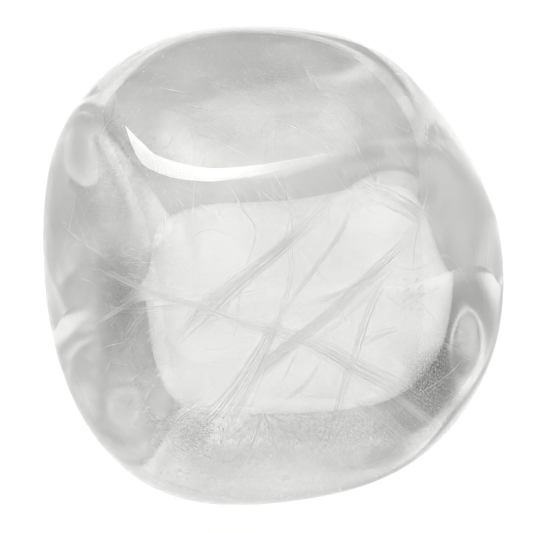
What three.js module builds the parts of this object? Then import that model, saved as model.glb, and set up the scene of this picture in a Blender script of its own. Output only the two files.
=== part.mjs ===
// A tumbled stone of clear quartz, polished to a soft, uneven block.
// Millimetres, +Z up. The origin is under the middle of the stone, on the plane it rests on.

import * as THREE from "three";
import { mergeVertices } from "three/addons/utils/BufferGeometryUtils.js";

// Driving dimensions

// How far the heart of the stone stands above the flat spot it rests on.
const REST_HEIGHT = 11.9;

// How closely the surface keeps to its worn flats: higher is flatter, with tighter rounded edges.
const FLATNESS = 10;
const REST_FLATNESS = 60;

// Tumbling wears the corners down towards a ball of this radius about the heart.
const TUMBLED_RADIUS = 20;

// Anything this near the rest plane is polished dead flat.
const REST_SNAP = 0.04;

// Each edge of a twenty-sided ball is cut into this many steps before the ball is shaped.
const BALL_STEPS = 15;

// The worn flats. around is degrees from +X towards +Y, up is degrees above level,
// and reach is how far the flat's plane lies from the heart of the stone.
const WORN_FLATS = {
  top: { around: 85, up: 70, reach: 13.6 },
  top_left: { around: 140, up: 20, reach: 16.6 },
  top_right: { around: 30, up: 25, reach: 15.9 },
  top_back: { around: 70, up: 10, reach: 17.3 },
  top_front_left: { around: -130, up: 45, reach: 15.7 },
  front: { around: -60, up: 50, reach: 13.4 },
  front_left: { around: -160, up: 15, reach: 12.3 },
  front_right: { around: -50, up: 10, reach: 17.2 },
  left: { around: 180, up: 0, reach: 17.5 },
  right: { around: -10, up: 20, reach: 14.0 },
  back: { around: 95, up: -20, reach: 10.5 },
  back_left: { around: 135, up: -30, reach: 13.7 },
  back_right: { around: 50, up: -10, reach: 17.3 },
  low_front: { around: -85, up: -5, reach: 15.5 },
  low_front_left: { around: -125, up: -20, reach: 16.8 },
  low_left: { around: -150, up: -45, reach: 17.2 },
  low_right: { around: -35, up: -20, reach: 17.1 },
  low: { around: -75, up: -60, reach: 14.0 },
  under_left: { around: 170, up: -55, reach: 15.2 },
  under_right: { around: 25, up: -45, reach: 15.6 },
  under_front: { around: -50, up: -65, reach: 13.9 },
};

// Material: clear quartz, seen pale grey, with a high polish
const QUARTZ_COLOUR = 0xdcdddb;
const QUARTZ_ROUGHNESS = 0.05;
const QUARTZ_OPACITY = 0.55;

// The unit vector that a flat faces.
function facing({ around, up }) {
  const turn = THREE.MathUtils.degToRad(around);
  const lift = THREE.MathUtils.degToRad(up);
  return new THREE.Vector3(Math.cos(turn) * Math.cos(lift), Math.sin(turn) * Math.cos(lift), Math.sin(lift));
}

const flats = Object.values(WORN_FLATS).map((flat) => ({ normal: facing(flat), reach: flat.reach }));

// Distance from the heart to the surface along a unit direction. Every flat pushes in by a power of how
// far the direction leans its way, so the surface is nearly flat on a flat and round between two flats.
// The tumbled ball pushes in alike all round, and the rest plane is blended in the same way, more tightly.
function surfaceDistance(direction) {
  let push = (1 / TUMBLED_RADIUS) ** FLATNESS;
  for (const { normal, reach } of flats) {
    push += Math.max(0, direction.dot(normal) / reach) ** FLATNESS;
  }
  const body = push ** (1 / FLATNESS);
  const rest = Math.max(0, -direction.z / REST_HEIGHT);
  return (body ** REST_FLATNESS + rest ** REST_FLATNESS) ** (-1 / REST_FLATNESS);
}

// The polished surface: a finely divided ball with each of its points moved out to the stone's surface.
function stoneGeometry() {
  const ball = new THREE.IcosahedronGeometry(1, BALL_STEPS - 1);
  ball.deleteAttribute("normal");
  ball.deleteAttribute("uv");
  const geometry = mergeVertices(ball);
  const position = geometry.attributes.position;
  const point = new THREE.Vector3();
  for (let i = 0; i < position.count; i += 1) {
    point.fromBufferAttribute(position, i).normalize();
    point.multiplyScalar(surfaceDistance(point));
    const height = point.z + REST_HEIGHT;
    position.setXYZ(i, point.x, point.y, height < REST_SNAP ? 0 : height);
  }
  geometry.computeBoundingBox();
  const middle = geometry.boundingBox.getCenter(new THREE.Vector3());
  geometry.translate(-middle.x, -middle.y, 0);
  geometry.computeVertexNormals();
  return geometry;
}

const stone = new THREE.Mesh(
  stoneGeometry(),
  new THREE.MeshStandardMaterial({
    color: QUARTZ_COLOUR,
    roughness: QUARTZ_ROUGHNESS,
    metalness: 0,
    transparent: true,
    opacity: QUARTZ_OPACITY,
  }),
);
stone.name = "stone";

const part = new THREE.Group();
part.add(stone);

export default part;
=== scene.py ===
"""A tumbled stone of clear quartz: a polished, uneven block with pale needles, veils and dust in it, and dark
sheets of painted shade.
"""

import math

import bmesh
import bpy
import numpy as np
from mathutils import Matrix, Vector
from mathutils.bvhtree import BVHTree


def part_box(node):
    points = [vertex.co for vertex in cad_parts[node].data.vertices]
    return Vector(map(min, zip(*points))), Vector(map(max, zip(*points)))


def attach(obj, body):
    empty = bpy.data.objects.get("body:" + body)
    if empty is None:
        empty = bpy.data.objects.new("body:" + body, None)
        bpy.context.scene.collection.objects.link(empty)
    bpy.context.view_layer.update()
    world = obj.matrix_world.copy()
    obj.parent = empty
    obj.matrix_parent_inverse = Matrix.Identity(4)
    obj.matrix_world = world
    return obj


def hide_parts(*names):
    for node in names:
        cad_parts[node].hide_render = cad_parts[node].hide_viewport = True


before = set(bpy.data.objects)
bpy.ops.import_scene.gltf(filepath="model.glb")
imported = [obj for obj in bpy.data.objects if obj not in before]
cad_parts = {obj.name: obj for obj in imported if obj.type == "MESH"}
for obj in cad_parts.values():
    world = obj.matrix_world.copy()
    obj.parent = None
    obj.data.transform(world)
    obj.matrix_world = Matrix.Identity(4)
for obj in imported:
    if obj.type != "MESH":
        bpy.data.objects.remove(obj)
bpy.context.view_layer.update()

MM = 0.001
chance = np.random.default_rng(41)

# The shape: the same worn flats as the solid's, as degrees from +X towards +Y,
# degrees above level, and the flat's reach from the heart in millimetres.
REST_HEIGHT = 11.9
FLATNESS = 10
TUMBLED_RADIUS = 20
BALL_DIVISIONS = 7
WORN_FLATS = {
    "top": (85, 70, 13.6),
    "top_left": (140, 20, 16.6),
    "top_right": (30, 25, 15.9),
    "top_back": (70, 10, 17.3),
    "top_front_left": (-130, 45, 15.7),
    "front": (-60, 50, 13.4),
    "front_left": (-160, 15, 12.3),
    "front_right": (-50, 10, 17.2),
    "left": (180, 0, 17.5),
    "right": (-10, 20, 14.0),
    "back": (95, -20, 10.5),
    "back_left": (135, -30, 13.7),
    "back_right": (50, -10, 17.3),
    "low_front": (-85, -5, 15.5),
    "low_front_left": (-125, -20, 16.8),
    "low_left": (-150, -45, 17.2),
    "low_right": (-35, -20, 17.1),
    "low": (-75, -60, 14.0),
    "under_left": (170, -55, 15.2),
    "under_right": (25, -45, 15.6),
    "under_front": (-50, -65, 13.9),
}

# The photograph: its side in pixels and the millimetres to a pixel at the heart of the stone. The camera:
# its degrees above level, how many metres it is from the heart, and the pixel that shows the heart
PICTURE = 533
MM_PER_PIXEL = 30 / 461
CAMERA_UP = 58
CAMERA_DISTANCE = 0.33
HEART_PIXEL = (262.6, 268.2)

# Optics of quartz
QUARTZ_IOR = 1.544


def facing(around, up):
    """The unit vector at these two angles in degrees."""
    turn, lift = math.radians(around), math.radians(up)
    return np.array([math.cos(turn) * math.cos(lift), math.sin(turn) * math.cos(lift), math.sin(lift)])


def body_distance(directions):
    """Millimetres from the heart to the worn surface along unit directions, leaving out the flat spot."""
    normals = np.array([facing(around, up) for around, up, reach in WORN_FLATS.values()])
    reaches = np.array([reach for around, up, reach in WORN_FLATS.values()])
    lean = np.maximum(directions @ normals.T, 0) / reaches
    return ((lean**FLATNESS).sum(1) + TUMBLED_RADIUS**-FLATNESS) ** (-1 / FLATNESS)


# Directions that lean down less than this never meet the flat spot
NEARLY_LEVEL = 1e-9


def surface_distance(directions):
    """Millimetres from the heart to the surface along unit directions, the flat spot included."""
    down = np.maximum(-directions[:, 2], NEARLY_LEVEL)
    return np.minimum(body_distance(directions), REST_HEIGHT / down)


def polished_stone():
    """The clear stone as a fine mesh that fills the box of its solid. Also returns its heart."""
    ball = bmesh.new()
    bmesh.ops.create_icosphere(ball, subdivisions=BALL_DIVISIONS, radius=1)
    directions = np.array([point.co.normalized()[:] for point in ball.verts])
    points = directions * body_distance(directions)[:, None]
    for point, place in zip(ball.verts, points):
        point.co = place
    for face in ball.faces:
        face.smooth = True
    everything = [*ball.verts, *ball.edges, *ball.faces]
    below = (0, 0, -REST_HEIGHT)
    cut = bmesh.ops.bisect_plane(ball, geom=everything, plane_co=below, plane_no=(0, 0, -1), clear_outer=True)
    rim = [piece for piece in cut["geom_cut"] if isinstance(piece, bmesh.types.BMEdge)]
    bmesh.ops.holes_fill(ball, edges=rim, sides=0)
    for edge in rim:
        edge.smooth = False
    points = np.array([point.co[:] for point in ball.verts])
    low, high = (np.array(corner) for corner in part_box("stone"))
    least, most = points.min(0), points.max(0)
    stretch = (high - low) / (most - least)
    for point, place in zip(ball.verts, low + (points - least) * stretch):
        point.co = place
    mesh = bpy.data.meshes.new("polished_stone")
    ball.to_mesh(mesh)
    ball.free()
    stone = bpy.data.objects.new("polished_stone", mesh)
    bpy.context.scene.collection.objects.link(stone)
    return stone, Vector(low - least * stretch)


stone, heart = polished_stone()


def studio_camera():
    """The camera, looking at the heart of the stone from the front and above."""
    lift = math.radians(CAMERA_UP)
    back = Vector((0, -math.cos(lift), math.sin(lift)))
    lens = bpy.data.cameras.new("camera")
    camera = bpy.data.objects.new("camera", lens)
    bpy.context.scene.collection.objects.link(camera)
    camera.location = heart + back * CAMERA_DISTANCE
    camera.rotation_euler = (-back).to_track_quat("-Z", "Y").to_euler()
    lens.lens = lens.sensor_width * CAMERA_DISTANCE / (PICTURE * MM_PER_PIXEL * MM)
    middle = PICTURE / 2
    lens.shift_x = (middle - HEART_PIXEL[0]) / PICTURE
    lens.shift_y = (HEART_PIXEL[1] - middle) / PICTURE
    lens.clip_start = 0.01
    bpy.context.scene.camera = camera
    return camera


camera = studio_camera()
bpy.context.view_layer.update()
skin = BVHTree.FromObject(stone, bpy.context.evaluated_depsgraph_get())


# How far a pixel off the stone is drawn in at each try, as a share of its way to the heart's pixel,
# and how far within the surface the bent line of sight starts, in metres
DRAW_IN = 0.02
START_WITHIN = 1e-6


def sight_through(column, row):
    """The way from the camera through this pixel of the photograph."""
    turn = camera.matrix_world.to_3x3()
    across, up = turn.col[0], turn.col[1]
    aim = (
        heart
        + across * (column - HEART_PIXEL[0]) * MM_PER_PIXEL * MM
        + up * (HEART_PIXEL[1] - row) * MM_PER_PIXEL * MM
    )
    return (aim - camera.location).normalized()


def inside(column, row, depth):
    """The point in the stone that the photograph shows at this pixel, a share of the way through the stone.

    The line of sight bends as it enters the quartz. A pixel just off the stone is drawn in to its edge.
    """
    entry = None
    while entry is None:
        sight = sight_through(column, row)
        entry, normal, face, reach = skin.ray_cast(camera.location, sight)
        column += (HEART_PIXEL[0] - column) * DRAW_IN
        row += (HEART_PIXEL[1] - row) * DRAW_IN
    cosine = -normal.dot(sight)
    bend = 1 / QUARTZ_IOR
    within = sight * bend + normal * (bend * cosine - math.sqrt(1 - bend**2 * (1 - cosine**2)))
    start = entry + within * START_WITHIN
    leave = skin.ray_cast(start, within)[0]
    return entry.lerp(leave, depth)


class Wire:
    """An output of a shader node, so that shader maths can be written as an expression."""

    def __init__(self, tree, socket):
        self.tree = tree
        self.socket = socket

    def node(self, kind, settings=None, **values):
        return add_node(self.tree, kind, settings, **values)

    def maths(self, operation, first, second):
        return self.node("ShaderNodeMath", {"operation": operation}, _0=first, _1=second)

    def __add__(self, other):
        return self.maths("ADD", self, other)

    def __radd__(self, other):
        return self.maths("ADD", other, self)

    def __sub__(self, other):
        return self.maths("SUBTRACT", self, other)

    def __rsub__(self, other):
        return self.maths("SUBTRACT", other, self)

    def __mul__(self, other):
        return self.maths("MULTIPLY", self, other)

    def __rmul__(self, other):
        return self.maths("MULTIPLY", other, self)

    def __truediv__(self, other):
        return self.maths("DIVIDE", self, other)


def feed(tree, node, **values):
    """Sets or links a node's sockets, each named by its number, as in _0, or by its own name."""
    for name, value in values.items():
        socket = node.inputs[int(name[1:]) if name[0] == "_" else name.replace("_", " ")]
        if isinstance(value, Wire):
            tree.links.new(value.socket, socket)
        else:
            socket.default_value = value


def add_node(tree, kind, settings=None, output=0, **values):
    """Adds a node with its settings and sockets. The setting stops is a ramp's list of places and greys."""
    node = tree.nodes.new(kind)
    for name, value in (settings or {}).items():
        if name == "stops":
            ramp = node.color_ramp.elements
            while len(ramp) < len(value):
                ramp.new(1)
            for stop, (place, grey) in zip(ramp, value):
                stop.position = place
                stop.color = (grey, grey, grey, 1)
        else:
            setattr(node, name, value)
    feed(tree, node, **values)
    return Wire(tree, node.outputs[output])


def finish(name):
    """A new material with its main shader, and the place on the object that its patterns start from."""
    material = bpy.data.materials.new(name)
    material.use_nodes = True
    tree = material.node_tree
    main = tree.nodes["Principled BSDF"]
    place = add_node(tree, "ShaderNodeTexCoord", output="Object")
    return material, tree, main, place


def noise(tree, place, scale, detail, roughness=0.5):
    """A cloudy pattern. scale is about how many of its lumps there are to a metre."""
    return add_node(tree, "ShaderNodeTexNoise", Vector=place, Scale=scale, Detail=detail, Roughness=roughness)


def measure(tree, operation, way, fixed):
    """A number from a varying vector and a fixed one: their DISTANCE or their DOT_PRODUCT."""
    settings = {"operation": operation}
    return add_node(tree, "ShaderNodeVectorMath", settings, output="Value", _0=way, _1=tuple(fixed))


# The values between which nearly all of a noise pattern lies
NOISE_RANGE = (0.3, 0.7)


def between(tree, pattern, low, high, first, last):
    """Carries a pattern's values from low..high to first..last, easing in and out."""
    return add_node(
        tree,
        "ShaderNodeMapRange",
        {"interpolation_type": "SMOOTHSTEP"},
        _0=pattern,
        _1=low,
        _2=high,
        _3=first,
        _4=last,
    )


def tint(tree, pattern, first, last):
    """A colour between two, by a pattern."""
    return add_node(
        tree, "ShaderNodeMix", {"data_type": "RGBA"}, output=2, _0=pattern, _6=(*first, 1), _7=(*last, 1)
    )


# The roughness where the stone is polished to a mirror and where it kept a softer, silkier polish, the way
# that the bright side faces in degrees, the cosines to it at which the silky polish ends and the mirror is
# full, and the roughness that fine wear adds
BRIGHT_POLISH = 0.012
SILKY_POLISH = 0.1
BRIGHT_SIDE = (-60, 55)
TURNED_AWAY = -0.35
TURNED_TOWARD = 0.25
WEAR_ROUGHNESS = 0.02


def polish(tree, wear):
    """Mirror bright on the flats in front, silkier behind and below, with the finest wear over both."""
    way = add_node(tree, "ShaderNodeNewGeometry", output="Normal")
    toward = measure(tree, "DOT_PRODUCT", way, facing(*BRIGHT_SIDE))
    gloss = between(tree, toward, TURNED_AWAY, TURNED_TOWARD, SILKY_POLISH, BRIGHT_POLISH)
    return gloss + wear * WEAR_ROUGHNESS


# Milky spots just under the polish: where the photograph shows each as (column, row), its radius in
# millimetres, and the share of the light that it catches. The spots that take milk away, at the rim and over
# the dark patches, are painted shade.
MILK_SPOTS_AND_PAINTED_SHADE = {
    "upper_left": ((138, 108), 4.0, 0.14),
    "top_right": ((378, 98), 5.0, 0.16),
    "under_crescent": ((215, 195), 6.0, 0.12),
    "right": ((445, 195), 5.0, 0.14),
    "lower_left": ((135, 425), 5.5, 0.16),
    "left_low": ((82, 365), 4.0, 0.10),
    "lower_left_inner": ((168, 398), 3.5, 0.18),
    "bottom": ((268, 470), 6.0, 0.20),
    "right_low": ((402, 415), 3.5, 0.14),
    # These spots take milk away as painted shade
    "painted_shade_clear_low": ((330, 425), 4.0, -0.10),
    "painted_shade_clear_left": ((125, 295), 4.0, -0.08),
    "painted_shade_clear_lower_right": ((385, 455), 3.0, -0.10),
    "painted_shade_clear_low_right": ((425, 380), 3.5, -0.10),
    "painted_shade_clear_upper_left": ((110, 72), 4.0, -0.12),
    "painted_shade_clear_far_left": ((72, 140), 4.0, -0.12),
    "painted_shade_clear_upper_right": ((442, 112), 4.0, -0.12),
}
# The milk between the spots, and the slow pattern that thins and thickens it
CLOUDINESS = 0.12
CLOUD_SCALE = 160
CLOUD_RANGE = (0.35, 0.7)
THINNEST_CLOUD = 0.6
THICKEST_CLOUD = 1.2

# The clear quartz itself, its milk, and the faint grey that it gives to light on its way through
CLEAR_COLOUR = (0.975, 0.977, 0.973, 1)
MILK_COLOUR = (0.93, 0.93, 0.92)
WORN_MILK_COLOUR = (0.86, 0.86, 0.85)
QUARTZ_GREY = (0.90, 0.903, 0.895, 1)
QUARTZ_GREY_DENSITY = 54.0

# The polished surface: the scales of its fine wear, slow wave and small pits, and how much each shows
WEAR_SCALE = 900
WEAR_ROUGHER = 0.6
WEAR_RANGE = (0.5, 0.75)
WAVE_SCALE = 110
PIT_SCALE = 700.0
PIT_WIDTH = 0.16
WAVE_SHARE = 0.6
PIT_SHARE = 0.05
RELIEF_STRENGTH = 0.08
RELIEF_HEIGHT = 0.00012


def milkiness_and_painted_shade(tree, place):
    """How milky the quartz is just under its polish, faint all over, stronger in soft spots and thinner in
    spots of painted shade.
    """
    cloud = between(tree, noise(tree, place, CLOUD_SCALE, 3), *CLOUD_RANGE, THINNEST_CLOUD, THICKEST_CLOUD)
    milk = CLOUDINESS
    for (column, row), radius, strength in MILK_SPOTS_AND_PAINTED_SHADE.values():
        spot = skin.ray_cast(camera.location, sight_through(column, row))[0]
        away = measure(tree, "DISTANCE", place, spot)
        milk = between(tree, away, 0, radius * MM, strength, 0) + milk
    return milk * cloud


def clear_quartz():
    """Polished clear quartz: milky spots under the surface, milk taken away in spots as painted shade, fine
    polishing marks and small pits.
    """
    material, tree, main, place = finish("clear_quartz")
    wear = between(tree, noise(tree, place, WEAR_SCALE, 3, WEAR_ROUGHER), *WEAR_RANGE, 0, 1)
    wave = noise(tree, place, WAVE_SCALE, 2)
    spots = add_node(tree, "ShaderNodeTexVoronoi", Vector=place, Scale=PIT_SCALE)
    pits = between(tree, spots, 0, PIT_WIDTH, -1, 0)
    relief = wave * WAVE_SHARE + pits * PIT_SHARE
    bump = add_node(tree, "ShaderNodeBump", Strength=RELIEF_STRENGTH, Distance=RELIEF_HEIGHT, Height=relief)
    gloss = polish(tree, wear)
    feed(
        tree,
        main,
        Base_Color=CLEAR_COLOUR,
        Roughness=gloss,
        Transmission_Weight=1.0,
        IOR=QUARTZ_IOR,
        Normal=bump,
    )
    milk = add_node(
        tree,
        "ShaderNodeBsdfPrincipled",
        Base_Color=tint(tree, wear, MILK_COLOUR, WORN_MILK_COLOUR),
        Roughness=gloss,
        IOR=QUARTZ_IOR,
        Normal=bump,
    )
    clear = Wire(tree, main.outputs["BSDF"])
    whole = add_node(tree, "ShaderNodeMixShader", _0=milkiness_and_painted_shade(tree, place), _1=clear, _2=milk)
    end = tree.nodes["Material Output"]
    tree.links.new(whole.socket, end.inputs["Surface"])
    grey = add_node(tree, "ShaderNodeVolumeAbsorption", Color=QUARTZ_GREY, Density=QUARTZ_GREY_DENSITY)
    tree.links.new(grey.socket, end.inputs["Volume"])
    return material


stone.data.materials.append(clear_quartz())
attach(stone, "root")
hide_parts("stone")


# Colours and roughnesses of what grew in the stone, from one to the other, and the scales of their patterns
NEEDLE_COLOURS = ((0.70, 0.695, 0.68), (0.85, 0.85, 0.84))
NEEDLE_ROUGHNESS = (0.3, 0.5)
DUST_COLOURS = ((0.86, 0.86, 0.84), (0.97, 0.97, 0.96))
DUST_ROUGHNESS = (0.5, 0.8)
SPECK_COLOURS = ((0.10, 0.09, 0.08), (0.22, 0.20, 0.18))
SPECK_ROUGHNESS = (0.4, 0.6)
STREAK_SCALE = 420
STREAK_RANGE = (0.35, 0.65)
GRAIN_SCALE = 2600
VEIL_ROUGHNESS = 0.8

# A veil's middle, how far from it the veil is still full, and how far out it is gone, as shares of its side
VEIL_MIDDLE = (0.5, 0.5, 0)
FULL_WITHIN = 0.1
GONE_AT = 0.5


def pale_needle():
    """Silky white to straw-grey needles with a satin sheen."""
    material, tree, main, place = finish("pale_needle")
    streak = noise(tree, place, STREAK_SCALE, 3)
    feed(
        tree,
        main,
        Base_Color=tint(tree, between(tree, streak, *STREAK_RANGE, 0, 1), *NEEDLE_COLOURS),
        Roughness=between(tree, streak, *NOISE_RANGE, *NEEDLE_ROUGHNESS),
    )
    return material


def white_dust():
    """Fine white grains, each a little different."""
    material, tree, main, place = finish("white_dust")
    grain = noise(tree, place, GRAIN_SCALE, 1)
    feed(
        tree,
        main,
        Base_Color=tint(tree, between(tree, grain, *NOISE_RANGE, 0, 1), *DUST_COLOURS),
        Roughness=between(tree, grain, *NOISE_RANGE, *DUST_ROUGHNESS),
    )
    return material


def dark_speck():
    """Tiny dark grains just under the polish."""
    material, tree, main, place = finish("dark_speck")
    grain = noise(tree, place, GRAIN_SCALE, 1)
    feed(
        tree,
        main,
        Base_Color=tint(tree, grain, *SPECK_COLOURS),
        Roughness=between(tree, grain, *NOISE_RANGE, *SPECK_ROUGHNESS),
    )
    return material


def cloudy_veil(name, first, last, thickest, scale, detail, thinnest):
    """A healed crack as patchy cloud that thins to nothing at the veil's own edge; the dark and grey ones are
    painted shade.
    """
    material, tree, main, place = finish(name)
    across = add_node(tree, "ShaderNodeTexCoord", output="UV")
    from_middle = measure(tree, "DISTANCE", across, VEIL_MIDDLE)
    fade = between(tree, from_middle, FULL_WITHIN, GONE_AT, 1, 0)
    patches = between(tree, noise(tree, place, scale, detail), *NOISE_RANGE, thinnest, 1)
    feed(
        tree,
        main,
        Base_Color=tint(tree, patches, first, last),
        Roughness=VEIL_ROUGHNESS,
        Alpha=fade * patches * thickest,
    )
    return material


# Fibres: their sides, how fine they are drawn against the tables' radii, and how much wider and fuller the
# sheaves are than their table says
FIBRE_SIDES = 3
FINENESS = 0.6
SPREADING = 1.4
FULLNESS = 1.5
# Into how many points a route is cut before and after it is taken into the stone, how many a fibre has, and
# the share of its sheaf's length that a fibre may lack at either end
ROUTE_STOPS = 14
ROUTE_POINTS = 40
FIBRE_POINTS = 12
RAGGED_ENDS = 0.22
# How far a fibre strays from its place in its sheaf, and how far it swings, as shares of the sheaf's width,
# in how many radians from end to end, and how much of that swing it takes at most
STRAY = 0.15
SWING = 0.12
SWING_RADIANS = 5
SWING_TAKEN = 0.6
# A way that no needle takes, to find the ways across a needle
UNLIKE_ANY_NEEDLE = (0.31, 0.22, 0.92)
# A fibre's taper: the share of its length that is left off its two points, and how blunt they are
POINT_SHARE = 0.08
BLUNTNESS = 0.6
# A fibre's radius over its sheaf's: the least, and what chance adds, which is seldom all of it
THINNEST = 0.6
THICKER_BY = 1.4


def smooth_path(points, steps):
    """Points along one smooth curve, a Catmull-Rom spline, through the given points."""
    points = np.array(points, float)
    knots = np.vstack([2 * points[0] - points[1], points, 2 * points[-1] - points[-2]])
    spans = len(points) - 1
    path = []
    for along in np.linspace(0, spans, steps):
        span = min(int(along), spans - 1)
        t = along - span
        before, start, end, after = knots[span : span + 4]
        path.append(
            0.5
            * (
                2 * start
                + (end - before) * t
                + (2 * before - 5 * start + 4 * end - after) * t**2
                + (3 * start - before - 3 * end + after) * t**3
            )
        )
    return np.array(path)


def needle_path(route, steps):
    """Points along one smooth curve in the stone, by where the photograph shows it."""
    return smooth_path([inside(*stop) for stop in route], steps)


def crossways(direction):
    """Two unit vectors square to a direction and to each other."""
    direction = direction / np.linalg.norm(direction)
    aside = np.cross(direction, UNLIKE_ANY_NEEDLE)
    aside /= np.linalg.norm(aside)
    return aside, np.cross(direction, aside)


class Bundle:
    """Collects closed, tapered fibres into one mesh."""

    def __init__(self):
        self.points = []
        self.faces = []

    def add(self, path, radius):
        aside, over = crossways(path[-1] - path[0])
        first = len(self.points)
        last = len(path) - 1
        self.points.append(path[0])
        for i in range(1, last):
            along = POINT_SHARE + (1 - 2 * POINT_SHARE) * i / last
            swell = radius * math.sin(math.pi * along) ** BLUNTNESS
            for side in range(FIBRE_SIDES):
                turn = math.tau * side / FIBRE_SIDES
                self.points.append(path[i] + swell * (aside * math.cos(turn) + over * math.sin(turn)))
        self.points.append(path[last])
        end = len(self.points) - 1
        for side in range(FIBRE_SIDES):
            following = (side + 1) % FIBRE_SIDES
            self.faces.append((first, first + 1 + following, first + 1 + side))
            for ring in range(last - 2):
                low = first + 1 + ring * FIBRE_SIDES
                high = low + FIBRE_SIDES
                self.faces.append((low + side, low + following, high + following, high + side))
            ring = end - FIBRE_SIDES
            self.faces.append((ring + side, ring + following, end))

    def make(self, name, material):
        return grown_inside(name, self.points, self.faces, material)


def grown_inside(name, points, faces, material):
    """A piece that grew in the stone, so it rides with it."""
    mesh = bpy.data.meshes.new(name)
    mesh.from_pydata([tuple(point) for point in points], [], faces)
    mesh.materials.append(material)
    piece = bpy.data.objects.new(name, mesh)
    bpy.context.scene.collection.objects.link(piece)
    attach(piece, "root")
    return piece


PIXEL = MM_PER_PIXEL * MM


def sheaf(bundle, route, spread, count, radius):
    """A sheaf of fibres along a route of (column, row, depth) in the photograph.

    spread is the sheaf's half width in pixels at its start, middle and end.
    """
    middle = needle_path(smooth_path(route, ROUTE_STOPS), ROUTE_POINTS)
    aside, over = crossways(middle[-1] - middle[0])
    share = np.linspace(0, 1, len(middle))
    width = np.interp(share, [0, 0.5, 1], spread) * SPREADING * PIXEL
    for fibre in range(round(count * FULLNESS)):
        begin = chance.uniform(0, RAGGED_ENDS)
        end = 1 - chance.uniform(0, RAGGED_ENDS)
        turn = chance.uniform(0, math.tau)
        out = math.sqrt(chance.uniform(0, 1))
        sway = chance.normal(0, STRAY, 2)
        along = np.linspace(begin, end, FIBRE_POINTS)
        line = np.stack([np.interp(along, share, middle[:, axis]) for axis in range(3)], 1)
        reach = np.interp(along, share, width) * out
        swing = SWING * np.sin(along * SWING_RADIANS + turn) * np.interp(along, share, width)
        line += np.outer(reach * (math.cos(turn) + sway[0] * (along - 0.5)), aside)
        line += np.outer(reach * (math.sin(turn) + sway[1] * (along - 0.5)), over)
        line += np.outer(swing * chance.uniform(0, SWING_TAKEN), aside)
        bundle.add(line, FINENESS * radius * MM * (THINNEST + THICKER_BY * chance.uniform(0, 1) ** 3))


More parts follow.
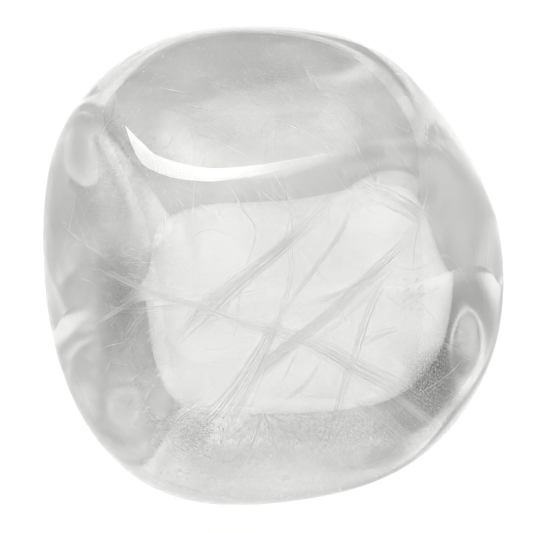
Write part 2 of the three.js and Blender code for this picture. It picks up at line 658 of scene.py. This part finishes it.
# The sheaves: their route in the photograph, half widths in pixels at start, middle and end,
# number of fibres, and fibre radius in millimetres
SHEAVES = {
    "long_rise": (
        [(341, 189, 0.22), (290, 240, 0.24), (248, 277, 0.26), (213, 309, 0.28), (167, 353, 0.28)],
        (5, 4, 6), 34, 0.013,
    ),
    "long_rise_second": (
        [(310, 225, 0.23), (252, 264, 0.25), (205, 303, 0.28), (175, 343, 0.28)],
        (2, 3, 4), 10, 0.012,
    ),
    "trunk_top": (
        [(351, 197, 0.21), (340, 233, 0.22), (293, 297, 0.25), (284, 312, 0.25)],
        (2, 2, 3), 12, 0.013,
    ),
    "trunk": (
        [(291, 300, 0.25), (262, 353, 0.25), (243, 388, 0.28), (205, 443, 0.30)],
        (3, 7, 10), 40, 0.013,
    ),
    "trunk_side": (
        [(290, 243, 0.24), (291, 275, 0.24), (283, 305, 0.25), (266, 348, 0.26)],
        (2, 2, 3), 10, 0.012,
    ),
    "corner": (
        [(425, 226, 0.23), (377, 270, 0.25), (330, 313, 0.28), (275, 357, 0.29), (240, 387, 0.30)],
        (6, 4, 6), 38, 0.013,
    ),
    "corner_branch": (
        [(400, 250, 0.24), (372, 275, 0.25), (330, 298, 0.28), (288, 315, 0.28)],
        (3, 2, 4), 10, 0.012,
    ),
    "corner_low": (
        [(398, 262, 0.25), (368, 295, 0.26), (340, 320, 0.28), (305, 345, 0.29)],
        (3, 3, 4), 10, 0.012,
    ),
    "hanging": (
        [(398, 262, 0.22), (373, 302, 0.23), (354, 360, 0.25), (343, 390, 0.25), (331, 440, 0.28)],
        (3, 3, 3), 12, 0.012,
    ),
    "hanging_second": (
        [(385, 272, 0.23), (372, 305, 0.24), (350, 350, 0.25), (328, 400, 0.28)],
        (2, 3, 4), 7, 0.011,
    ),
    "left_bright": (
        [(90, 263, 0.17), (120, 279, 0.18), (153, 293, 0.20), (200, 307, 0.22), (243, 327, 0.23)],
        (3, 3, 3), 16, 0.013,
    ),
    "left_low": (
        [(90, 305, 0.17), (130, 311, 0.18), (180, 306, 0.21), (222, 302, 0.22)],
        (3, 2, 2), 7, 0.012,
    ),
    "long_fall": (
        [(205, 306, 0.22), (243, 323, 0.23), (310, 343, 0.23)]
        + [(357, 370, 0.22), (400, 393, 0.20), (443, 430, 0.17)],
        (2, 7, 10), 30, 0.013,
    ),
    "white_low": (
        [(350, 398, 0.17), (380, 417, 0.15), (420, 450, 0.14)],
        (2, 4, 5), 26, 0.015,
    ),
    "white_right": (
        [(390, 393, 0.14), (415, 411, 0.14), (442, 431, 0.13)],
        (2, 3, 4), 18, 0.015,
    ),
    "right_glint": (
        [(438, 342, 0.17), (455, 350, 0.15), (471, 359, 0.14)],
        (1, 2, 2), 5, 0.014,
    ),
    "right_thin": (
        [(428, 395, 0.15), (447, 377, 0.15), (463, 357, 0.14)],
        (1, 1, 1), 3, 0.012,
    ),
    "band": (
        [(366, 187, 0.20), (400, 203, 0.21), (430, 223, 0.22)],
        (7, 7, 5), 34, 0.011,
    ),
    "flat_low": (
        [(360, 345, 0.28), (380, 334, 0.28), (403, 328, 0.28)],
        (2, 3, 2), 8, 0.012,
    ),
    "upper_thin": (
        [(229, 182, 0.22), (243, 208, 0.23), (257, 232, 0.24), (247, 267, 0.25)],
        (1, 1, 2), 4, 0.011,
    ),
    "upper_second": (
        [(283, 172, 0.22), (290, 213, 0.23), (293, 243, 0.24)],
        (1, 1, 1), 3, 0.011,
    ),
    "upper_third": (
        [(257, 190, 0.22), (273, 202, 0.22), (288, 214, 0.23)],
        (1, 1, 1), 3, 0.010,
    ),
    "middle_drop": (
        [(243, 288, 0.28), (238, 315, 0.28), (234, 342, 0.28)],
        (1, 2, 2), 5, 0.011,
    ),
    "rim_thread": (
        [(52, 213, 0.11), (76, 237, 0.12), (100, 254, 0.14), (113, 263, 0.15)],
        (1, 1, 1), 2, 0.012,
    ),
    "left_stroke": (
        [(94, 326, 0.14), (117, 311, 0.15), (144, 296, 0.17)],
        (1, 2, 3), 10, 0.013,
    ),
    "left_stroke_low": (
        [(124, 338, 0.15), (136, 322, 0.17), (147, 309, 0.18)],
        (1, 2, 2), 6, 0.012,
    ),
    "lower_left": (
        [(159, 434, 0.17), (183, 415, 0.19), (209, 396, 0.21)],
        (2, 3, 4), 12, 0.012,
    ),
    "lower_left_second": (
        [(166, 410, 0.19), (186, 401, 0.20), (212, 394, 0.22)],
        (1, 2, 3), 8, 0.012,
    ),
    "cross_low": (
        [(283, 402, 0.25), (305, 385, 0.25), (325, 357, 0.26)],
        (1, 2, 2), 6, 0.011,
    ),
    "cross_mid": (
        [(280, 385, 0.25), (290, 365, 0.25), (300, 344, 0.26)],
        (1, 1, 2), 5, 0.011,
    ),
}

# Single needles under the top flat, each by the places that it passes: column, row and depth
TOP_NEEDLES = [
    [(200, 73, 0.15), (230, 88, 0.15), (264, 109, 0.16)],
    [(205, 79, 0.15), (240, 96, 0.15), (262, 106, 0.16)],
    [(160, 88, 0.14), (188, 93, 0.15)],
    [(272, 114, 0.10), (300, 127, 0.10)],
    [(275, 118, 0.10), (298, 129, 0.10)],
    [(275, 84, 0.15), (293, 105, 0.16)],
    [(190, 105, 0.15), (214, 110, 0.15)],
    [(313, 88, 0.15), (347, 97, 0.16)],
    [(300, 57, 0.12), (317, 90, 0.15)],
]
TOP_NEEDLE_RADIUS = 0.026

# Single needles lower down, over the dark patches and across the window, each by its places and its radius
LOW_NEEDLES = [
    ([(120, 262, 0.17), (158, 262, 0.20)], 0.018),
    ([(105, 253, 0.16), (112, 243, 0.17)], 0.015),
    ([(103, 347, 0.16), (126, 342, 0.18)], 0.017),
    ([(113, 363, 0.16), (129, 365, 0.18)], 0.017),
    ([(127, 384, 0.16), (144, 370, 0.18)], 0.018),
    ([(462, 361, 0.14), (417, 395, 0.15)], 0.020),
    ([(472, 375, 0.12), (441, 401, 0.14)], 0.013),
    ([(200, 204, 0.22), (223, 220, 0.22)], 0.012),
    ([(362, 229, 0.22), (392, 243, 0.23)], 0.012),
    ([(422, 254, 0.20), (441, 261, 0.20)], 0.012),
    ([(309, 318, 0.25), (323, 343, 0.25), (334, 358, 0.25)], 0.012),
    ([(304, 394, 0.25), (339, 401, 0.25)], 0.012),
    ([(217, 312, 0.20), (241, 328, 0.20)], 0.030),
    ([(336, 404, 0.20), (331, 428, 0.19), (325, 450, 0.18)], 0.022),
    ([(279, 420, 0.20), (293, 449, 0.18)], 0.018),
    ([(291, 418, 0.20), (314, 417, 0.20)], 0.016),
]

# Small marks just under the polish, white and dark grains, the two white ones at the right a painted glint:
# column, row, depth and size in millimetres
WHITE_CHIPS_AND_PAINTED_GLINT = [(75, 195, 0.04, 0.13), (458, 330, 0.06, 0.22), (457, 325, 0.06, 0.16), (395, 76, 0.05, 0.10)]
DARK_SPECKS = [
    (138, 138, 0.04, 0.05),
    (212, 176, 0.04, 0.04),
    (217, 61, 0.04, 0.05),
    (243, 76, 0.04, 0.04),
    (128, 424, 0.04, 0.07),
    (472, 432, 0.06, 0.05),
]

# The fan of sheaves that spreads from one point near the bottom
FAN_ROOT = (263, 410, 0.22)
FAN_TIPS = [(232, 444), (250, 450), (282, 448), (298, 449), (314, 452), (332, 446)]
FAN_MIDDLE_DEPTH = 0.20
FAN_TIP_DEPTH = 0.18
FAN_SPREAD = (1, 3, 5)
FAN_FIBRES = 10
FAN_RADIUS = 0.012

# Points along a single needle and along a short hair
NEEDLE_POINTS = 9
HAIR_POINTS = 6

# Tufts of short hairs: the place in the photograph, the half widths that they spread over, which way they
# lean in degrees, how many, how long in pixels, and their radius in millimetres
HAIR_TUFTS = [
    ((411, 297, 0.5), (9, 8), 42, 34, 11, 0.008),
    ((395, 330, 0.5), (12, 6), 20, 14, 12, 0.008),
    ((132, 334, 0.3), (9, 9), 55, 26, 12, 0.012),
    ((120, 262, 0.3), (14, 12), -18, 30, 14, 0.012),
    ((140, 385, 0.3), (12, 12), 50, 16, 12, 0.012),
]
# How far hairs turn from their tuft's lean in degrees, their lengths over the tuft's, and how far their
# depths spread and their middles lie deeper, as shares of the way through
HAIR_TURN = 12
HAIR_LENGTHS = (0.5, 1.2)
HAIR_DEPTHS = 0.03
HAIR_BOW = 0.01

# Lone needles all through the stone: how many, their radius and half lengths in millimetres, the ways that
# they lie, how often each way, how far they turn from it, and how much they bow
LONE_NEEDLES = 70
LONE_POINTS = 8
LONE_RADIUS = 0.008
LONE_HALF_LENGTHS = (1.2, 3.2)
LONE_WAYS = [(-0.66, -0.52, -0.54), (0.72, -0.45, -0.53), (0.1, -0.6, -0.8)]
LONE_SHARES = (0.42, 0.36, 0.22)
LONE_TURN = 0.28
LONE_BOW = 0.05
# Their widths over the radius, and the shares of the way to the surface that their middles keep within and
# that no point of them passes
LONE_WIDTHS = (0.6, 1.4)
MIDDLES_WITHIN = 0.8
ENDS_WITHIN = 0.96


def wanders(bundle, count, radius):
    """Lone needles all through the stone, most of them along the two ways that the sheaves take."""
    for needle in range(count):
        middle = scattered(1, MIDDLES_WITHIN)[0]
        way = np.array(LONE_WAYS[chance.choice(3, p=LONE_SHARES)]) + chance.normal(0, LONE_TURN, 3)
        way /= np.linalg.norm(way)
        bow = np.cross(way, chance.normal(0, 1, 3))
        half = chance.uniform(*LONE_HALF_LENGTHS) * MM
        share = np.linspace(-1, 1, LONE_POINTS)
        line = middle + np.outer(share * half, way) + np.outer((1 - share**2) * half * LONE_BOW, bow)
        room = surface_room(line)
        if room.max() < ENDS_WITHIN:
            bundle.add(line, radius * MM * chance.uniform(*LONE_WIDTHS))


def surface_room(points):
    """How far out each point is, as a share of the way from the heart to the surface."""
    away = (np.array(points) - np.array(heart)) / MM
    far = np.linalg.norm(away, axis=1)
    return far / surface_distance(away / far[:, None])


def scattered(count, share):
    """Points spread evenly through the stone, out to a share of the way to its surface."""
    way = chance.normal(0, 1, (count, 3))
    way /= np.linalg.norm(way, axis=1)[:, None]
    reach = surface_distance(way) * share * chance.uniform(0, 1, count) ** (1 / 3)
    return np.array(heart) + way * reach[:, None] * MM


def hairs(bundle, middle, area, way, count, length, radius):
    """Short hairs about a place in the photograph, all leaning one way there."""
    for hair in range(count):
        column = middle[0] + chance.normal(0, area[0])
        row = middle[1] + chance.normal(0, area[1])
        lean = math.radians(way + chance.normal(0, HAIR_TURN))
        half = length * chance.uniform(*HAIR_LENGTHS) / 2
        across, down = math.cos(lean) * half, -math.sin(lean) * half
        depth = middle[2] + chance.normal(0, HAIR_DEPTHS)
        route = [
            (column - across, row - down, depth),
            (column, row, depth + HAIR_BOW),
            (column + across, row + down, depth),
        ]
        bundle.add(needle_path(route, HAIR_POINTS), radius * MM)


def grow_needles():
    """All needles: the sheaves and the fan in one piece, the single needles and hairs in another."""
    material = pale_needle()
    sheaves = Bundle()
    for route, spread, count, radius in SHEAVES.values():
        sheaf(sheaves, route, spread, count, radius)
    for tip in FAN_TIPS:
        half_way = ((FAN_ROOT[0] + tip[0]) / 2, (FAN_ROOT[1] + tip[1]) / 2, FAN_MIDDLE_DEPTH)
        sheaf(sheaves, [FAN_ROOT, half_way, (*tip, FAN_TIP_DEPTH)], FAN_SPREAD, FAN_FIBRES, FAN_RADIUS)
    sheaves.make("needle_sheaves", material)
    lone = Bundle()
    for route in TOP_NEEDLES:
        lone.add(needle_path(route, NEEDLE_POINTS), TOP_NEEDLE_RADIUS * MM)
    for route, radius in LOW_NEEDLES:
        lone.add(needle_path(route, NEEDLE_POINTS), radius * MM)
    for tuft in HAIR_TUFTS:
        hairs(lone, *tuft)
    wanders(lone, LONE_NEEDLES, LONE_RADIUS)
    lone.make("needle_threads", material)


# A grain's corners and faces, how far it is stretched each way, and its size over its kind's
GRAIN_CORNERS = np.array([(1, 1, 1), (1, -1, -1), (-1, 1, -1), (-1, -1, 1)]) / math.sqrt(3)
GRAIN_FACES = np.array([(0, 1, 2), (0, 3, 1), (0, 2, 3), (1, 3, 2)])
GRAIN_STRETCH = (0.45, 1.3)
GRAIN_SIZES = (0.5, 1.3)


def grains(name, middles, size, material):
    """Tiny four-cornered grains, each turned and stretched its own way."""
    count = len(middles)
    way = chance.normal(0, 1, (count, 3, 3))
    turn = np.linalg.qr(way)[0]
    stretch = chance.uniform(*GRAIN_STRETCH, (count, 1, 3))
    stretch = stretch * (size * MM * chance.uniform(*GRAIN_SIZES, (count, 1, 1)))
    corners = (GRAIN_CORNERS[None] * stretch) @ turn + middles[:, None, :]
    first_corners = len(GRAIN_CORNERS) * np.arange(count)[:, None, None]
    faces = (GRAIN_FACES[None] + first_corners).reshape(-1, 3)
    return grown_inside(name, corners.reshape(-1, 3), faces.tolist(), material)


# Clouds of dust: column, row, depth, half width and half height in pixels, half depth, number of grains
DUST_CLOUDS = [
    (122, 300, 0.25, 22, 45, 0.10, 6000),
    (185, 430, 0.25, 30, 14, 0.10, 3500),
    (330, 432, 0.25, 70, 16, 0.10, 9000),
    (428, 375, 0.25, 22, 38, 0.10, 6500),
    (270, 478, 0.25, 55, 14, 0.10, 4500),
    (300, 90, 0.30, 70, 32, 0.12, 5000),
    (95, 200, 0.25, 25, 50, 0.10, 3000),
]
DUST_SIZE = 0.022
DUST_COUNT = 12000
DUST_REACH = 0.97
# No grain of a cloud lies nearer to the near or the far surface than these shares of the way through
NEAREST_DEPTH = 0.04
FARTHEST_DEPTH = 0.9
# A cloud's half width over the spread of its grains
CLOUD_TIGHTNESS = 1.6


def scatter_dust():
    """Dust all through the stone, thicker clouds of it, and the few larger grains near the surface, two of
    the white ones a painted glint.
    """
    material = white_dust()
    grains("dust", scattered(DUST_COUNT, DUST_REACH), DUST_SIZE, material)
    spots = []
    for column, row, depth, wide, high, deep, count in DUST_CLOUDS:
        for grain in range(count):
            spot = (
                column + chance.normal(0, wide / CLOUD_TIGHTNESS),
                row + chance.normal(0, high / CLOUD_TIGHTNESS),
                min(max(depth + chance.normal(0, deep), NEAREST_DEPTH), FARTHEST_DEPTH),
            )
            spots.append(inside(*spot))
    grains("dust_clouds", np.array(spots), DUST_SIZE, material)
    # The two white grains at the right stand for a painted glint
    chips_and_glint = np.array([inside(*place) for *place, size in WHITE_CHIPS_AND_PAINTED_GLINT])
    grains("white_chips_and_painted_glint", chips_and_glint, np.array([[[size]] for *place, size in WHITE_CHIPS_AND_PAINTED_GLINT]), material)
    specks = np.array([inside(*place) for *place, size in DARK_SPECKS])
    grains("dark_specks", specks, np.array([[[size]] for *place, size in DARK_SPECKS]), dark_speck())


# Veils: cells along a side, the share of the way to the surface that no veil passes, the height of the slow
# wave in millimetres, the radians that each wave takes along the two sides, and the quick one's height over
# the slow one's
VEIL_CELLS = 20
VEIL_REACH = 0.97
VEIL_WAVE = 0.12
SLOW_WAVE = (5, 4)
QUICK_WAVE = (7, 11)
QUICK_HEIGHT = 0.4


def seen(*corners):
    """The points in the stone at these places in the photograph."""
    return [np.array(inside(*corner)) for corner in corners]


def veil(name, corners, material):
    """A thin sheet between four points that are given in turn round its edge, with slow and quick waves."""
    low_left, low_right, high_right, high_left = corners
    normal = np.cross(low_right - low_left, high_left - low_left)
    normal /= np.linalg.norm(normal)
    phase = chance.uniform(0, math.tau, 4)
    points, places = [], []
    for i in range(VEIL_CELLS + 1):
        for j in range(VEIL_CELLS + 1):
            u, v = i / VEIL_CELLS, j / VEIL_CELLS
            flat = (low_left * (1 - u) + low_right * u) * (1 - v) + (high_left * (1 - u) + high_right * u) * v
            slow = math.sin(SLOW_WAVE[0] * u + phase[0]) * math.cos(SLOW_WAVE[1] * v + phase[1])
            quick = math.sin(QUICK_WAVE[1] * v + QUICK_WAVE[0] * u + phase[2])
            lift = slow + QUICK_HEIGHT * quick
            point = flat + normal * lift * VEIL_WAVE * MM
            room = surface_room([point])[0]
            if room > VEIL_REACH:
                point = np.array(heart) + (point - np.array(heart)) * VEIL_REACH / room
            points.append(point)
            places.append((u, v))
    row = VEIL_CELLS + 1
    faces = [
        (i * row + j, (i + 1) * row + j, (i + 1) * row + j + 1, i * row + j + 1)
        for i in range(VEIL_CELLS)
        for j in range(VEIL_CELLS)
    ]
    piece = grown_inside(name, points, faces, material)
    layer = piece.data.uv_layers.new(name="veil")
    for loop in piece.data.loops:
        layer.data[loop.index].uv = places[loop.vertex_index]
    for face in piece.data.polygons:
        face.use_smooth = True
    return piece


# Tones of the clouds, and of the dark sheets of painted shade
WHITE = (0.95, 0.95, 0.94)
CLOUD_WHITE = (0.88, 0.88, 0.87)
CLOUD_GREY = (0.76, 0.76, 0.75)
PAINTED_SHADE_DARK = (0.10, 0.10, 0.095)
PAINTED_SHADE_PALE = (0.16, 0.16, 0.15)

# How much of the light one sheet of cloud or of painted shade stops at its thickest
CLOUD_STOPS = 0.24
PAINTED_SHADE_STOPS = 0.4

# The materials of the veils: their tones where they are thin and thick, how much light they stop, the scale
# and the detail of their patches, and how much is left of the cloud in its thinnest patches
VEIL_MATERIALS = {
    "soft_cloud": (CLOUD_GREY, CLOUD_WHITE, CLOUD_STOPS, 130, 3, 0.7),
    "white_cloud": (CLOUD_WHITE, WHITE, CLOUD_STOPS, 420, 3, 0.6),
    # The grey cloud is painted shade, grey to dark
    "grey_painted_shade": (PAINTED_SHADE_DARK, CLOUD_GREY, CLOUD_STOPS, 250, 3, 0.6),
    "thin_cloud": (CLOUD_GREY, WHITE, CLOUD_STOPS, 300, 4, 0.3),
    # The dark sheet material is painted shade
    "painted_shade": (PAINTED_SHADE_PALE, PAINTED_SHADE_DARK, PAINTED_SHADE_STOPS, 200, 4, 0.6),
}

# The veils: where the photograph shows the middle of each as (column, row), its half width and half height in
# pixels, its tilt in degrees, the shares of the way through at which its layers lie, and its material
VEILS = {
    "under_crescent_veil": ((280, 192), (170, 38), 7, (0.12, 0.15, 0.18), "white_cloud"),
    "top_right_veil": ((385, 122), (32, 52), 20, (0.10, 0.13), "white_cloud"),
    "shoulder_veil": ((424, 195), (42, 88), 34, (0.10, 0.13), "white_cloud"),
    "right_edge_veil": ((452, 252), (28, 58), 10, (0.07, 0.10), "white_cloud"),
    "left_edge_veil": ((72, 318), (44, 44), 0, (0.10,), "soft_cloud"),
    # Painted shade, darkening the upper left edge
    "upper_left_painted_shade_veil": ((82, 145), (30, 62), -15, (0.10, 0.13), "grey_painted_shade"),
    "lower_left_veil": ((128, 420), (38, 76), 45, (0.10,), "white_cloud"),
    # Painted shade, darkening the top
    "top_painted_shade_veil": ((288, 114), (95, 36), 8, (0.09, 0.12), "grey_painted_shade"),
    "window_veil": ((300, 285), (185, 135), 0, (0.34, 0.38), "thin_cloud"),
    "bottom_veil": ((272, 474), (80, 26), 3, (0.08,), "white_cloud"),
    # Dark sheets of painted shade over the stone's darker patches
    "painted_shade_left": ((130, 300), (42, 76), 0, (0.34, 0.37, 0.40, 0.43), "painted_shade"),
    "painted_shade_right": ((432, 380), (28, 50), -35, (0.30, 0.33, 0.36), "painted_shade"),
    "painted_shade_low_right": ((388, 450), (32, 18), 25, (0.30,), "painted_shade"),
    "painted_shade_low_left": ((188, 424), (32, 20), 0, (0.32,), "painted_shade"),
}


def lying(middle, halves, tilt, depth):
    """Four corners about a place in the photograph, the near ones first."""
    turn = math.radians(tilt)
    corners = []
    for i, j in ((-1, 1), (1, 1), (1, -1), (-1, -1)):
        across, down = i * halves[0], j * halves[1]
        column = middle[0] + across * math.cos(turn) + down * math.sin(turn)
        row = middle[1] - across * math.sin(turn) + down * math.cos(turn)
        corners.append((column, row, depth))
    return corners


def grow_veils():
    """All veils, each as a few layers of sheet in one material."""
    materials = {name: cloudy_veil(name, *recipe) for name, recipe in VEIL_MATERIALS.items()}
    for name, (middle, halves, tilt, depths, finish_name) in VEILS.items():
        for layer, depth in enumerate(depths):
            corners = seen(*lying(middle, halves, tilt, depth))
            veil("%s_%d" % (name, layer), corners, materials[finish_name])


# Studio: a floor that glows, just under the stone, and a white tent of this brightness
FLOOR_DROP = 0.2 * MM
FLOOR_SIZE = 4
FLOOR_GREY = 0.12
FLOOR_MOTTLE = 0.01
FLOOR_MOTTLE_SCALE = 30
FLOOR_ROUGHNESS = 0.8
FLOOR_GLOW = 0.87
TENT = 1.27

# Two round darker patches of the tent, to the left of the camera: the way to the middle as degrees from +X
# and above level, the angles from there at which the patch is full and has faded away, and how much of the
# tent's light it lets through
TENT_PATCHES = {
    "flag": (-133, 56, 5, 15, 0.0),
    "pale_flag": (-108, 66, 3, 12, 0.7),
}

# A bright curved panel in the tent behind the stone, for the crescent on top. It spans these degrees to the
# side of straight back, and its edges are (degrees to the side, degrees above level).
PANEL_SIDES = (-60, 40)
PANEL_LOWER_EDGE = [(-51.5, 53), (-49, 43), (-43, 36.5), (-33, 26), (-26, 45), (0, 51), (19, 49)]
PANEL_UPPER_EDGE = [(-51.5, 54), (-47, 60.5), (-37, 66), (-25, 69), (1, 70), (13, 66), (22, 55)]
# Its edges are this many degrees soft, and it fades to its right from the second to the first of these
PANEL_SOFTNESS = 1.5
PANEL_FADE = (22, 0)
PANEL_BRIGHTNESS = 6.4

# Near the floor the tent is open and dimmer: its tone there, and the degrees above level between which
# the tone rises to the tent's own
OPENING_TONE = 0.25
OPENING_TOP = (6, 34)


def studio_floor():
    """The pale floor, lit from within so that it stays white to the picture's edge."""
    bpy.ops.mesh.primitive_plane_add(size=FLOOR_SIZE, location=(0, 0, -FLOOR_DROP))
    floor = bpy.context.object
    floor.name = "floor"
    material, tree, main, place = finish("pale_floor")
    mottle = noise(tree, place, FLOOR_MOTTLE_SCALE, 2)
    grain = between(tree, mottle, *NOISE_RANGE, FLOOR_GREY - FLOOR_MOTTLE, FLOOR_GREY + FLOOR_MOTTLE)
    feed(
        tree,
        main,
        Base_Color=add_node(tree, "ShaderNodeCombineColor", _0=grain, _1=grain, _2=grain),
        Roughness=FLOOR_ROUGHNESS,
        Emission_Color=(1, 1, 1, 1),
        Emission_Strength=FLOOR_GLOW,
    )
    floor.data.materials.append(material)


def panel_edge(tree, side, edge):
    """The height in degrees above level of one edge of the bright panel, by the degrees to the side."""
    least, most = PANEL_SIDES
    share = (side - least) / (most - least)
    stops = [((place - least) / (most - least), up / 90) for place, up in edge]
    return add_node(tree, "ShaderNodeValToRGB", {"stops": stops}, _0=share) * 90


def bright_panel(tree, way):
    """1 on the panel and 0 off it, soft at its edges and fading towards its right end."""
    across, back, up = (add_node(tree, "ShaderNodeSeparateXYZ", output=axis, _0=way) for axis in range(3))
    side = add_node(tree, "ShaderNodeMath", {"operation": "ARCSINE"}, _0=across) * math.degrees(1)
    lift = add_node(tree, "ShaderNodeMath", {"operation": "ARCTAN2"}, _0=up, _1=back) * math.degrees(1)
    over = between(tree, lift - panel_edge(tree, side, PANEL_LOWER_EDGE), 0, PANEL_SOFTNESS, 0, 1)
    under = between(tree, panel_edge(tree, side, PANEL_UPPER_EDGE) - lift, 0, PANEL_SOFTNESS, 0, 1)
    return over * under * between(tree, side, *PANEL_FADE, 0, 1)


def studio_tent():
    """The white tent all round, with its open foot, its dark patches and its bright curved panel."""
    world = bpy.data.worlds.new("tent")
    bpy.context.scene.world = world
    world.use_nodes = True
    tree = world.node_tree
    way = add_node(tree, "ShaderNodeTexCoord", output="Generated")
    height = add_node(tree, "ShaderNodeSeparateXYZ", output=2, _0=way)
    dim_below, full_above = (math.sin(math.radians(angle)) for angle in OPENING_TOP)
    tone = between(tree, height, dim_below, full_above, OPENING_TONE, 1) * TENT
    for around, up, core, edge, lets_through in TENT_PATCHES.values():
        near = measure(tree, "DOT_PRODUCT", way, facing(around, up))
        faded, full = (math.cos(math.radians(angle)) for angle in (edge, core))
        tone = tone * between(tree, near, faded, full, 1, lets_through)
    tone = tone + bright_panel(tree, way) * PANEL_BRIGHTNESS
    tree.links.new(tone.socket, tree.nodes["Background"].inputs["Color"])


grow_needles()
scatter_dust()
grow_veils()
studio_floor()
studio_tent()

# How often light may bend, reflect or pass a thin cloud before it is given up
LIGHT_BENDS = 16
LIGHT_REFLECTIONS = 12
CLOUDS_PASSED = 32

scene = bpy.context.scene
scene.view_settings.view_transform = "Standard"
scene.cycles.max_bounces = LIGHT_BENDS
scene.cycles.transmission_bounces = LIGHT_BENDS
scene.cycles.glossy_bounces = LIGHT_REFLECTIONS
scene.cycles.transparent_max_bounces = CLOUDS_PASSED
